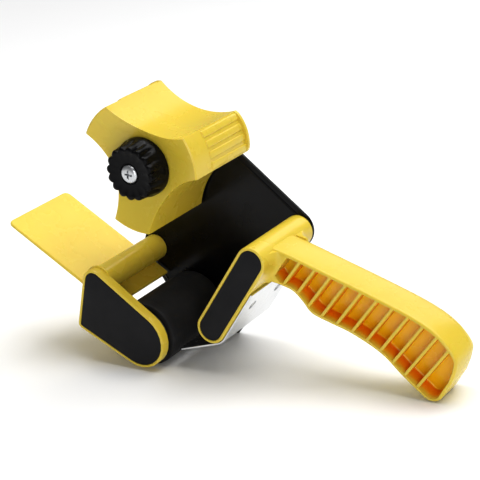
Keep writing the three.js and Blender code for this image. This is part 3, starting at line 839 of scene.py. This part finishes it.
def makeFarPockets():
    # the hollows between the ribs on the far side of the middle web, one block each
    lean = math.radians(grip["ribLean"])
    across = Vector((math.sin(lean), -math.cos(lean)))
    down = Vector((-math.cos(lean), -math.sin(lean)))
    walls = insetPoints(gripPoints(), grip["farWall"])
    origin = Vector(grip["ribAt"])
    toeReach = max(across.dot(point - origin) for point in walls)
    edges = [-grip["firstPocket"]]
    for i in range(grip["ribs"]):
        edges += [grip["ribPitch"] * i - grip["ribThickness"] / 2, grip["ribPitch"] * i + grip["ribThickness"] / 2]
    edges.append(toeReach - 0.5)
    nearY, farY = grip["near"] + grip["depth"] + grip["web"], grip["far"] + 1
    blocks = []
    for start, end in zip(edges[::2], edges[1::2]):
        tops, lows = [], []
        for k in range(5):
            line = origin + across * (start + (end - start) * k / 4) - down * 20
            hits = wallHits(line, down, walls)
            tops.append(line + down * hits[0])
            lows.append(line + down * hits[1])
        loop = [(point.x, point.y) for point in tops + lows[::-1]]
        blocks.append(loftRings("farPocket", [ringAt(loop, nearY), ringAt(loop, farY)]))
    return joinPieces("farPockets", blocks)


def makeGripRibs():
    # parallel ribs from wall to wall, a little below the rim
    lean = math.radians(grip["ribLean"])
    across = Vector((math.sin(lean), -math.cos(lean)))
    down = Vector((-math.cos(lean), -math.sin(lean)))
    walls = insetPoints(gripPoints(), grip["wall"] * 0.7)
    nearY, farY = grip["near"] + 0.3, grip["near"] + grip["depth"] + 0.5
    ribs = []
    for i in range(grip["ribs"]):
        line = Vector(grip["ribAt"]) + across * grip["ribPitch"] * i - down * 20
        hits = wallHits(line, down, walls)
        topHit, lowHit = line + down * hits[0], line + down * hits[1]
        middle = (topHit + lowHit) / 2
        clearSelection()
        bpy.ops.mesh.primitive_cube_add(size=1, location=(
            middle.x * mm, (nearY + farY) / 2 * mm, middle.y * mm,
        ), rotation=(0, math.pi / 2 - lean, 0), scale=(
            grip["ribThickness"] * mm, (farY - nearY) * mm, (topHit - lowHit).length * mm,
        ))
        rib = bpy.context.object
        bpy.ops.object.transform_apply(location=True, rotation=True, scale=True)
        softenEdges(rib, 0.3, 2)
        ribs.append(rib)
    return joinPieces("gripRibs", ribs)


def makeMember():
    near, far, edge = member["near"], member["far"], member["edge"]
    discs = [(*member["top"], member["radius"]), (*member["low"], member["radius"])]
    outline = lambda inset: beltPoints(discs, inset, 18)
    rings = [
        ringAt(outline(member["rim"]), near + member["inset"]),
        ringAt(outline(member["rim"] - 0.05), near + 0.25),
        ringAt(outline(member["rim"] - 0.25), near),
    ]
    for k in range(5):
        angle = math.pi / 2 * k / 4
        rings.append(ringAt(outline(edge * (1 - math.sin(angle))), near + edge * (1 - math.cos(angle))))
    rings += [ringAt(outline(0), far - 0.4), ringAt(outline(0.4), far)]
    return loftRings("member", rings)


def makeNeckBlend(faceY, towards, reach, height):
    # concave sweep that carries the face of the grip round into the cross member
    spots = [(besideMember(along, member["radius"]), memberRear) for along in (12.5, 11, 9, 6, 3, 0)]
    for degrees in (-18, -8, 2, 12, 20, 27, 33):
        angle = math.radians(degrees)
        aim = math.radians(min(degrees, 16 - 0.6 * degrees))
        spot = Vector(member["top"]) + member["radius"] * Vector((math.cos(angle), math.sin(angle)))
        spots.append((spot, Vector((math.cos(aim), math.sin(aim)))))
    rings = []
    for i, (spot, outward) in enumerate(spots):
        size = min(1.0, 0.25 + 0.4 * i)
        across, up = reach * size, height * size
        section = [(-1.2, -1.2), (across, -1.2)]
        for k in range(9):
            angle = math.pi / 2 * k / 8
            section.append((across * (1 - math.sin(angle)), up * (1 - math.cos(angle))))
        section.append((-1.2, up))
        rings.append([
            Vector(((spot.x + outward.x * u) * mm, (faceY + towards * v) * mm, (spot.y + outward.y * u) * mm))
            for u, v in section
        ])
    return loftRings("neckBlend", rings)


def insideOutline(point, outline):
    odd = False
    for a, b in zip(outline, outline[1:] + outline[:1]):
        if (a.y > point.y) != (b.y > point.y) and point.x < (b.x - a.x) * (point.y - a.y) / (b.y - a.y) + a.x:
            odd = not odd
    return odd


def makeHandle():
    shell = makeGripShell()
    combine(shell, makeGripRibs(), "UNION")
    combine(shell, makeMember(), "UNION")
    combine(shell, makeNeckBlend(grip["near"], -1, 3.4, 8.5), "UNION")
    combine(shell, makeNeckBlend(grip["far"], 1, 6, 8), "UNION")
    combine(shell, makeFarPockets(), "DIFFERENCE")
    pockets = pocketPoints(gripPoints(), grip["wall"] - 0.3)
    # faces inside the pockets take the finish with painted shade
    paintedShadeFaces = [
        insideOutline(Vector((face.center.x, face.center.z)) / mm, pockets)
        and (grip["near"] + 0.4) * mm < face.center.y < (grip["near"] + grip["depth"] + 0.5) * mm
        for face in shell.data.polygons
    ]
    for face, deep in zip(shell.data.polygons, paintedShadeFaces):
        face.material_index = 1 if deep else 0
    return seat(shell, "frame", "handle", [finish["yellow"], finish["paintedPocketShade"]], 32)


def makeHandlePanel():
    radius = member["radius"] - member["rim"] - 0.15
    discs = [(*member["top"], radius), (*member["low"], radius)]
    outline = lambda extra: beltPoints(discs, extra, 18)
    piece = softPlate("handlePanel", outline, member["near"] + 0.1, member["near"] + member["inset"], 0.35)
    return seat(piece, "frame", "handle_panel", finish["panel"], 35)


makeHandle()
makeHandlePanel()


plate = {
    "near": 53.0, "far": 55.0, "edge": 0.45, "beadInset": 2.6, "beadWidth": 1.6, "bead": 0.35,
    "discs": [(0, 0, 15), (-27.5, -72.5, 9), (1.6, -99.1, 16), (28.4, -112, 2), (66.5, -38.5, 11)],
    "holes": [
        (0, 0, 3.3), (1.6, -99.1, 4.3), (-27.5, -72.5, 2.6), (*besideMember(6, 0), 2.6), (*besideMember(46, 0), 2.6),
    ],
}


def makeSidePlate():
    near, far, edge = plate["near"], plate["far"], plate["edge"]
    outline = lambda inset: beltPoints(plate["discs"], inset, 14)
    rings = []
    for k in range(4):
        angle = math.pi / 2 * k / 3
        rings.append(ringAt(outline(edge * (1 - math.sin(angle))), near + edge * (1 - math.cos(angle))))
    for k in range(1, 4):
        angle = math.pi / 2 * k / 3
        rings.append(ringAt(outline(edge * (1 - math.cos(angle))), far - edge * (1 - math.sin(angle))))
    return loftRings("sidePlate", rings)


def makePlateBead():
    # pressed line just inside the edge, proud of the near face
    start, width, height = plate["beadInset"], plate["beadWidth"], plate["bead"]
    discs = [(x, z, max(r, start + width + 0.6)) for x, z, r in plate["discs"]]
    outline = lambda inset: beltPoints(discs, inset, 14)
    near = plate["near"]
    rings = [ringAt(outline(start), near + 0.5)]
    for k in range(7):
        share = k / 6
        rings.append(ringAt(outline(start + width * share), near - height * math.sin(math.pi * share)))
    rings.append(ringAt(outline(start + width), near + 0.5))
    return loftRings("plateBead", rings, ends="bridge")


def makePlate():
    piece = makeSidePlate()
    combine(piece, makePlateBead(), "UNION")
    holes = [turned("hole", [(r, plate["near"] - 3), (r, plate["far"] + 3)], x, z) for x, z, r in plate["holes"]]
    combine(piece, joinPieces("plateHoles", holes), "DIFFERENCE")
    return seat(piece, "frame", "side_plate", finish["enamel"], 30)


makePlate()


blade = {
    "near": 3.5, "far": 50.5, "thickness": 1.0, "gap": 0.3, "tip": (21.6, -104.4), "teeth": 15, "toothDepth": 2.4,
    "top": 17, "screwAlong": 30, "screwY": (14, 40), "screwHead": 3.0,
}


def cutterPath():
    # mid-line of the bent sheet from the top of the flange to the toothed edge
    middle = member["radius"] + blade["gap"] + blade["thickness"] / 2
    low, tip = Vector(member["low"]), Vector(blade["tip"])
    reach = low - tip
    under = math.atan2(reach.y, reach.x) - math.asin(middle / reach.length) - math.pi / 2
    behind = math.atan2(memberRear.y, memberRear.x)
    length = (Vector(member["low"]) - Vector(member["top"])).length
    path = [besideMember(blade["top"] + (length - blade["top"]) * k / 4, middle) for k in range(4)]
    for k in range(13):
        angle = behind + (under - behind) * k / 12
        path.append(low + middle * Vector((math.cos(angle), math.sin(angle))))
    along = (tip - path[-1]).normalized()
    path += [path[-1].lerp(tip, 0.5), tip - along * blade["toothDepth"], tip]
    return path


def makeBlade():
    path = cutterPath()
    across = 2 * blade["teeth"] + 1
    clearSelection()
    bpy.ops.mesh.primitive_grid_add(x_subdivisions=len(path) - 1, y_subdivisions=across - 1, size=1)
    piece = bpy.context.object
    piece.name = "blade"
    for vertex in piece.data.vertices:
        column = round((vertex.co.x + 0.5) * (len(path) - 1))
        row = round((vertex.co.y + 0.5) * (across - 1))
        spot = path[column]
        if column == len(path) - 1 and row % 2 == 0:
            spot = path[-2].lerp(path[-1], 0.08)
        y = blade["near"] + (blade["far"] - blade["near"]) * row / (across - 1)
        vertex.co = (spot.x * mm, y * mm, spot.y * mm)
    applyModifier(piece, "SOLIDIFY", thickness=blade["thickness"] * mm, offset=0)
    softenEdges(piece, 0.12, 1, 50)
    return seat(piece, "frame", "blade", finish["blade"], 28)


def makeBladeScrew(index, y):
    # flat head flush with the flange, with a shallow cross recess
    flush = blade["gap"] + blade["thickness"]
    head = blade["screwHead"]
    profile = [(1.7, -8), (1.7, flush - 1.7), (head, flush - 0.35), (head, flush - 0.1), (head - 0.1, flush)]
    piece = loftRings(f"bladeScrew{index}", [ringAt(circlePoints(0, 0, radius, 32), depth) for radius, depth in profile])
    cutter = crossCutter(0, 0, flush, 3.6, 0.8, 1.0, 1)
    combine(piece, cutter, "DIFFERENCE")
    spot = besideMember(blade["screwAlong"], member["radius"])
    turn = Vector((0, 1, 0)).rotation_difference(Vector((memberRear.x, 0, memberRear.y))).to_matrix().to_4x4()
    piece.matrix_world = Matrix.Translation((spot.x * mm, y * mm, spot.y * mm)) @ turn
    pick(piece)
    bpy.ops.object.transform_apply(location=True, rotation=True)
    return seat(piece, "frame", f"blade_screw_{index}", finish["zinc"], 38)


makeBlade()
for index, y in enumerate(blade["screwY"], 1):
    makeBladeScrew(index, y)


axle = {"radius": 4.0, "near": -4.2, "far": 58.2, "clipAt": 56.0, "groove": 0.5}


def makeRollerSleeve():
    radius, near, far, core = roller["radius"], roller["near"], roller["far"], roller["core"]
    profile = [(core, near + 0.6), (core + 0.5, near + 0.15), (radius - 1.3, near)]
    profile += [(radius - 0.5, near + 0.2), (radius - 0.1, near + 0.8), (radius, near + 1.6)]
    profile += [(radius, near + (far - near) * k / 6) for k in range(1, 6)]
    profile += [(radius, far - 1.6), (radius - 0.1, far - 0.8), (radius - 0.5, far - 0.2)]
    profile += [(radius - 1.3, far), (core + 0.5, far - 0.15), (core, far - 0.6)]
    rings = [ringAt(circlePoints(roller["x"], roller["z"], r, 96), y) for r, y in profile]
    piece = loftRings("rollerSleeve", rings, ends="bridge")
    return seat(piece, "roller", "roller_sleeve", finish["rubber"], 40)


def makeRollerCore():
    # hub and rim joined by a web at each end, with lightening holes
    radius, near, far, bore = roller["core"] - 0.1, roller["near"] - 0.5, roller["far"] + 0.5, roller["bore"]
    profile = [
        (bore, near), (bore + 2.2, near), (bore + 2.6, near + 0.4), (bore + 2.8, near + 2.5),
        (radius - 2.0, near + 2.5), (radius - 1.7, near + 0.9), (radius - 0.4, near + 0.5), (radius, near + 0.9),
        (radius, far - 0.9), (radius - 0.4, far - 0.5), (radius - 1.7, far - 0.9), (radius - 2.0, far - 2.5),
        (bore + 2.8, far - 2.5), (bore + 2.6, far - 0.4), (bore + 2.2, far), (bore, far),
    ]
    rings = [ringAt(circlePoints(roller["x"], roller["z"], r, 64), y) for r, y in profile]
    piece = loftRings("rollerCore", rings, ends="bridge")
    holes = []
    for k in range(6):
        angle = math.pi / 3 * k
        x = roller["x"] + 9.6 * math.cos(angle)
        z = roller["z"] + 9.6 * math.sin(angle)
        holes.append(turned("hole", [(1.6, near - 1), (1.6, near + 4)], x, z, 20))
    combine(piece, joinPieces("holes", holes), "DIFFERENCE")
    return seat(piece, "roller", "roller_core", finish["core"], 35)


def makeAxle():
    radius, far, clip = axle["radius"], axle["far"], axle["clipAt"]
    profile = [
        (radius - 0.4, axle["near"]), (radius, axle["near"] + 0.4), (radius, clip - 0.1),
        (radius - axle["groove"], clip), (radius - axle["groove"], clip + 1.0), (radius, clip + 1.1),
        (radius, far - 0.5), (radius - 0.5, far),
    ]
    piece = turned("rollerAxle", profile, roller["x"], roller["z"], 48)
    return seat(piece, "frame", "roller_axle", finish["zinc"], 38)


def makeAxleClip():
    # flat spring ring, open on one side, in the axle's groove
    inner, outer, near, far = axle["radius"] - 0.4, 6.6, axle["clipAt"] + 0.05, axle["clipAt"] + 0.95
    rings = []
    for k in range(41):
        angle = math.radians(-60 + 300 * k / 40)
        side = Vector((math.cos(angle), math.sin(angle)))
        ring = []
        for r, y in ((inner, near), (outer - 0.15, near), (outer, near + 0.15), (outer, far - 0.15), (outer - 0.15, far), (inner, far)):
            ring.append(Vector(((roller["x"] + side.x * r) * mm, y * mm, (roller["z"] + side.y * r) * mm)))
        rings.append(ring)
    piece = loftRings("axleClip", rings)
    return seat(piece, "frame", "axle_clip", finish["zinc"], 35)


makeRollerSleeve()
makeRollerCore()
makeAxle()
makeAxleClip()


def makeWasher(name, body, node, material, x, z, inner, outer, near, far, edge=0.2):
    profile = [
        (inner, near + edge), (inner + edge, near), (outer - edge, near), (outer, near + edge),
        (outer, far - edge), (outer - edge, far), (inner + edge, far), (inner, far - edge),
    ]
    rings = [ringAt(circlePoints(x, z, r, 56), y) for r, y in profile]
    piece = loftRings(name, rings, ends="bridge")
    return seat(piece, body, node, material, 35)


plateScrew = {"shank": 2.3, "end": 36.0, "head": 4.4, "seat": 55.0, "height": 2.6}
plateScrews = {
    "guardScrew": ("guard_screw", guard["bar"][:2]),
    "handleScrew1": ("handle_screw_1", besideMember(6, 0)),
    "handleScrew2": ("handle_screw_2", besideMember(46, 0)),
}


def makePlateScrew(name, node, spot):
    x, z = spot
    shank, head, seatY, height = (plateScrew[key] for key in ("shank", "head", "seat", "height"))
    profile = [
        (shank - 0.4, plateScrew["end"]), (shank, plateScrew["end"] + 0.8), (shank, seatY), (head, seatY),
        (head, seatY + height * 0.4), (head - 0.25, seatY + height * 0.68), (head - 0.9, seatY + height * 0.9),
        (head - 2.2, seatY + height),
    ]
    piece = turned(name, profile, x, z, 40)
    combine(piece, crossCutter(x, z, seatY + height, 4.8, 1.1, 1.5, 1), "DIFFERENCE")
    return seat(piece, "frame", node, finish["zinc"], 38)


nut = {"flats": 10.0, "near": 56.4, "height": 5.0, "bore": 3.05, "chamfer": 0.7}


def makeNut():
    # hexagon with both ends chamfered to a circle
    count = 72
    flat = nut["flats"] / 2

    def hexRing(limit, y):
        ring = []
        for k in range(count):
            angle = 2 * math.pi * k / count
            r = min(limit, flat / math.cos((angle % (math.pi / 3)) - math.pi / 6))
            ring.append((r * math.cos(angle), r * math.sin(angle)))
        return ringAt(ring, y)

    near, far, bore = nut["near"], nut["near"] + nut["height"], nut["bore"]
    corner = flat / math.cos(math.pi / 6)
    circle = lambda radius, y: ringAt(circlePoints(0, 0, radius, count), y)
    rings = [
        circle(bore + 0.5, near), hexRing(flat * 0.98, near), hexRing(corner, near + nut["chamfer"] * 0.6),
        hexRing(corner, far - nut["chamfer"] * 0.6), hexRing(flat * 0.98, far), circle(bore + 0.5, far),
        circle(bore, far - 0.5), circle(bore, near + 0.5),
    ]
    piece = loftRings("plateNut", rings, ends="bridge")
    return seat(piece, "frame", "plate_nut", finish["zinc"], 25)


for name, (node, spot) in plateScrews.items():
    makePlateScrew(name, node, spot)
makeNut()
makeWasher("nutWasher", "frame", "nut_washer", finish["zinc"], 0, 0, 3.3, 9.0, 55.0, 56.4)
makeWasher("axleWasher", "frame", "axle_washer", finish["zinc"], roller["x"], roller["z"], 4.3, 8.0, 55.0, 56.0)


insidePieces = {
    "hub_sleeve": "zinc", "pressure_washer": "zinc", "tension_spring": "zinc", "spring_seat": "zinc",
    "knob_insert": "brass", "friction_washer": "fibre",
}
for node, look in insidePieces.items():
    mesh = frame["nodes"][node].data
    mesh.materials.clear()
    mesh.materials.append(finish[look])
print("inside pieces finished")


studio = {"floor": 9.0, "worldStrength": 0.22, "floorColour": (0.93, 0.93, 0.93)}
sun = {"strength": 2.35, "spread": 50, "from": (0.28, 0.22, 1.0)}
lamps = {
    "keyLight": {"at": (-0.3, 0.1, 0.9), "size": 0.35, "power": 2.2},
    "sideLight": {"at": (0.7, -0.9, 0.35), "size": 0.5, "power": 3.6},
    "backLight": {"at": (0.1, 0.8, 0.6), "size": 0.6, "power": 2.0},
}


def makeFloor():
    clearSelection()
    bpy.ops.mesh.primitive_plane_add(size=studio["floor"], location=(0, 0, -0.0002))
    floor = bpy.context.object
    floor.name = "floor"
    material, nodes, links, shader, coords = newFinish("paleFloor")
    shader.inputs["Base Color"].default_value = (*studio["floorColour"], 1)
    shader.inputs["Roughness"].default_value = 0.8
    floor.data.materials.append(material)
    floor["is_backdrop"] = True


def makeLights():
    world = bpy.data.worlds.new("studioWorld")
    world.use_nodes = True
    world.node_tree.nodes["Background"].inputs["Color"].default_value = (1, 1, 1, 1)
    world.node_tree.nodes["Background"].inputs["Strength"].default_value = studio["worldStrength"]
    bpy.context.scene.world = world
    bpy.ops.object.light_add(type="SUN", location=sun["from"])
    light = bpy.context.object
    light.name = "softSun"
    light.data.energy = sun["strength"]
    light.data.angle = math.radians(sun["spread"])
    light.rotation_euler = Vector(sun["from"]).to_track_quat("Z", "Y").to_euler()
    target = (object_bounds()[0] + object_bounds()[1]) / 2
    for name, lamp in lamps.items():
        bpy.ops.object.light_add(type="AREA", location=lamp["at"])
        light = bpy.context.object
        light.name = name
        light.data.size = lamp["size"]
        light.data.energy = lamp["power"]
        light.rotation_euler = (target - light.location).to_track_quat("-Z", "Y").to_euler()


# where the camera stands, about the hub axis in the tool's own side view
view = {"turn": 32.46, "rise": 24.71, "right": -54.19, "up": 37.53, "distance": 811.7, "lens": 114.45}


def makeCamera():
    turn, rise = math.radians(view["turn"]), math.radians(view["rise"])
    back = Vector((math.sin(turn) * math.cos(rise), -math.cos(turn) * math.cos(rise), math.sin(rise)))
    right = Vector((math.cos(turn), math.sin(turn), 0))
    up = back.cross(right)
    place = (back * view["distance"] - right * view["right"] - up * view["up"]) * mm
    pose = Matrix((right, up, back)).transposed().to_4x4()
    pose.translation = place
    bpy.ops.object.camera_add()
    camera = bpy.context.object
    camera.name = "camera"
    camera.matrix_world = toolPlace @ pose
    camera.data.sensor_width = 36
    camera.data.lens = view["lens"]
    camera.data.clip_start = 0.01
    bpy.context.scene.camera = camera


makeFloor()
makeLights()
makeCamera()
bpy.context.scene.view_settings.view_transform = "Standard"
bpy.context.scene.view_settings.gamma = 0.85
print("studio ready")

clearSelection()
